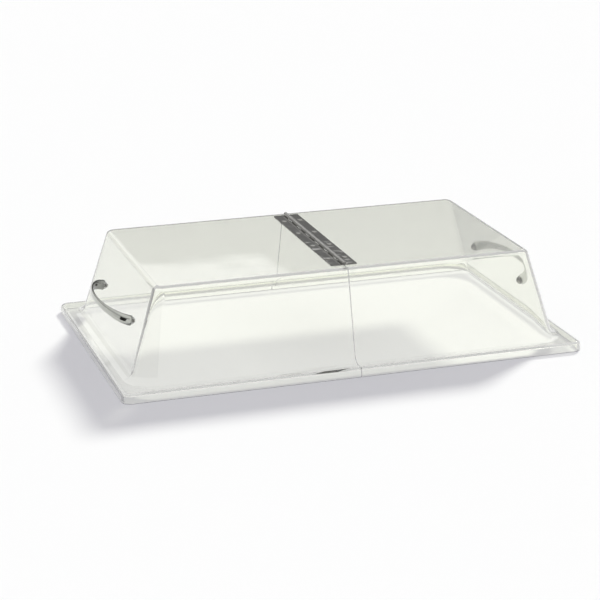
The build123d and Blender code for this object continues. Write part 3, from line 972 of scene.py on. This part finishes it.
# %% Floor
def stage_piece(name, mesh, material):
    """A piece of the studio that isn't part of the object."""
    piece = plain_object(name, mesh)
    mesh.materials.append(material)
    print("stage piece", name, "with", len(mesh.polygons), "faces")
    return piece


def white_floor():
    """A matt white floor that gives back nine tenths of the light."""
    material, tree, surface = start_material("white_floor")
    matt = add(tree, "ShaderNodeBsdfDiffuse", None, {"Color": (0.9, 0.9, 0.9, 1)})
    tree.links.new(matt.outputs[0], surface)
    return material


FLOOR_HALF = 20.0
floor_points = [(x * FLOOR_HALF, y * FLOOR_HALF, 0) for x, y in ((-1, -1), (1, -1), (1, 1), (-1, 1))]
stage_piece("floor", mesh_from("floor", floor_points, [(0, 1, 2, 3)]), white_floor())

# %% Grey screen
SCREEN_RADIUS, SCREEN_POINTS = 3.0, 97
SCREEN_FROM, SCREEN_TO = radians(65), radians(-165)
SCREEN_LOW, SCREEN_HIGH = 0.01, 1.16
DARK_GREY, DARK_X = 0.27, -0.7
LIGHT_GREY, LIGHT_X = 0.50, -1.5
FOOT_LOW, FOOT_HIGH = 0.0, 0.5
FADE_LOW, FADE_HIGH = 1.045, 1.09
STEP_FROM, STEP_TO, STEP_RISE = 0.82, 0.96, 0.06


def grey_screen():
    """A screen that glows grey, lighter on the left, and fades to white at its foot and its upper edge."""
    material, tree, surface = start_material("grey_screen")
    place = add(tree, "ShaderNodeTexCoord").outputs["Object"]
    axes = add(tree, "ShaderNodeSeparateXYZ", None, {0: place})
    across, height = axes.outputs["X"], axes.outputs["Z"]
    smooth = {"interpolation_type": "SMOOTHSTEP"}
    greys = {"To Min": DARK_GREY, "To Max": LIGHT_GREY}
    left = {"Value": across, "From Min": DARK_X, "From Max": LIGHT_X, **greys}
    grey = add(tree, "ShaderNodeMapRange", None, left).outputs[0]
    foot = {"Value": height, "From Min": FOOT_LOW, "From Max": FOOT_HIGH, "To Min": 1.0, "To Max": grey}
    low = add(tree, "ShaderNodeMapRange", smooth, foot).outputs[0]
    right = {"Value": across, "From Min": STEP_FROM, "From Max": STEP_TO, "To Min": 0.0, "To Max": STEP_RISE}
    rise = add(tree, "ShaderNodeMapRange", smooth, right).outputs[0]
    over = add(tree, "ShaderNodeMath", {"operation": "SUBTRACT"}, {0: height, 1: rise}).outputs[0]
    fade = {"Value": over, "From Min": FADE_LOW, "From Max": FADE_HIGH, "To Min": low, "To Max": 1.0}
    level = add(tree, "ShaderNodeMapRange", smooth, fade).outputs[0]
    glow = add(tree, "ShaderNodeEmission", None, {"Color": (1, 1, 1, 1), "Strength": level})
    tree.links.new(glow.outputs[0], surface)
    return material


screen_points = []
for z in (SCREEN_LOW, SCREEN_HIGH):
    for a in np.linspace(SCREEN_FROM, SCREEN_TO, SCREEN_POINTS):
        screen_points.append((SCREEN_RADIUS * sin(a), SCREEN_RADIUS * cos(a), z))
screen_faces = [(i, i + 1, SCREEN_POINTS + i + 1, SCREEN_POINTS + i) for i in range(SCREEN_POINTS - 1)]
screen = stage_piece("screen", mesh_from("screen", screen_points, screen_faces), grey_screen())
screen.visible_camera = screen.visible_diffuse = screen.visible_shadow = False

# %% Dark card
CARD_X, CARD_Y, CARD_Z = -1.2, (-2.4, -0.1), (0.03, 0.16)
CARD_GREY = 0.03


def dark_card():
    """A card that glows very dark grey."""
    material, tree, surface = start_material("dark_card")
    glow = add(tree, "ShaderNodeEmission", None, {"Color": (CARD_GREY, CARD_GREY, CARD_GREY, 1)})
    tree.links.new(glow.outputs[0], surface)
    return material


card_points = [(CARD_X, y, z) for z in CARD_Z for y in CARD_Y]
card = stage_piece("card", mesh_from("card", card_points, [(0, 1, 3, 2)]), dark_card())
card.visible_camera = card.visible_diffuse = card.visible_transmission = card.visible_shadow = False

# %% [markdown]
# ## Light
# A white world is what the camera, mirrors and clear pieces see. On the floor it gives only a weak fill, a
# little violet, which colours the shadow. Two broad lamps do the rest. A soft box overhead is shaded by the
# metal pieces alone, so it draws their soft shadows. A window behind is shaded by the plastic alone, which
# lets the shells' shadow fall to the front and left as in the photograph, without a second one of the metal.

# %% World
FILL_TINT, FILL_STRENGTH = (0.86, 0.845, 1.0, 1), 0.2588

world = bpy.data.worlds.new("studio")
scene.world = world
world.use_nodes = True
tree = world.node_tree
tree.nodes.clear()
path = add(tree, "ShaderNodeLightPath").outputs
seen = path["Is Camera Ray"]
for ray in ("Is Glossy Ray", "Is Transmission Ray"):
    seen = add(tree, "ShaderNodeMath", {"operation": "MAXIMUM"}, {0: seen, 1: path[ray]}).outputs[0]
fill = add(tree, "ShaderNodeBackground", None, {"Color": FILL_TINT, "Strength": FILL_STRENGTH})
white = add(tree, "ShaderNodeBackground", None, {"Color": (1, 1, 1, 1), "Strength": 1.0})
mixed = add(tree, "ShaderNodeMixShader", None, {0: seen, 1: fill.outputs[0], 2: white.outputs[0]})
add(tree, "ShaderNodeOutputWorld", None, {"Surface": mixed.outputs[0]})
print("made the world", world.name, "with", len(tree.nodes), "nodes")


# %% Lamps
def broad_lamp(name, towards, share, width, tint):
    """A soft lamp far away. share is the floor's brightness under it alone, width its angle in degrees."""
    towards = Vector(towards).normalized()
    lamp_data = bpy.data.lights.new(name, "SUN")
    lamp_data.energy = share * pi / towards.z
    lamp_data.color = tint
    lamp_data.angle = radians(width)
    lamp = bpy.data.objects.new(name, lamp_data)
    lamp.rotation_mode = "QUATERNION"
    lamp.rotation_quaternion = towards.to_track_quat("Z", "Y")
    lamp.visible_glossy = False
    scene.collection.objects.link(lamp)
    print("made the lamp", name, "with strength", round(lamp_data.energy, 3))
    return lamp


overhead = broad_lamp("soft_box_overhead", (0.25, 0.30, 1.0), share=0.415, width=130, tint=(1.0, 1.0, 0.98))
window = broad_lamp("window_behind", (0.72, 0.84, 0.78), share=0.46, width=10, tint=(1.0, 1.0085, 0.939))

for lamp, state in ((overhead, "EXCLUDE"), (window, "INCLUDE")):
    shading = bpy.data.collections.new(f"what_shades_{lamp.name}")
    for hand in HANDS:
        shading.objects.link(bpy.data.objects[f"{hand}_half_shell"])
    for entry in shading.collection_objects:
        entry.light_linking.link_state = state
    lamp.light_linking.blocker_collection = shading

# %% [markdown]
# ## Camera
# The camera stands where the photograph's did. Its angles, distance and focal length come from fitting the
# cover's corners to the picture, and a small slide and lift put the object where it is in the frame.

# %% Camera
CAMERA_AZIMUTH, CAMERA_ELEVATION = radians(-18.44), radians(18.38)
CAMERA_DISTANCE = 2.247
CAMERA_SLIDE, CAMERA_LIFT = -0.0156, 0.0352
FOCAL_WIDTHS = 1937 / 600
SENSOR_MM = 36

back = Vector((
    sin(CAMERA_AZIMUTH) * cos(CAMERA_ELEVATION),
    -cos(CAMERA_AZIMUTH) * cos(CAMERA_ELEVATION),
    sin(CAMERA_ELEVATION),
))
right = Vector((cos(CAMERA_AZIMUTH), sin(CAMERA_AZIMUTH), 0))
camera_data = bpy.data.cameras.new("camera")
camera_data.sensor_width = SENSOR_MM
camera_data.lens = SENSOR_MM * FOCAL_WIDTHS
camera = bpy.data.objects.new("camera", camera_data)
camera.location = CAMERA_DISTANCE * back + CAMERA_SLIDE * right + CAMERA_LIFT * back.cross(right)
camera.rotation_mode = "QUATERNION"
camera.rotation_quaternion = back.to_track_quat("Z", "Y")
scene.collection.objects.link(camera)
scene.camera = camera
print("camera at", [round(c, 3) for c in camera.location], "with a lens of", round(camera_data.lens, 1), "mm")
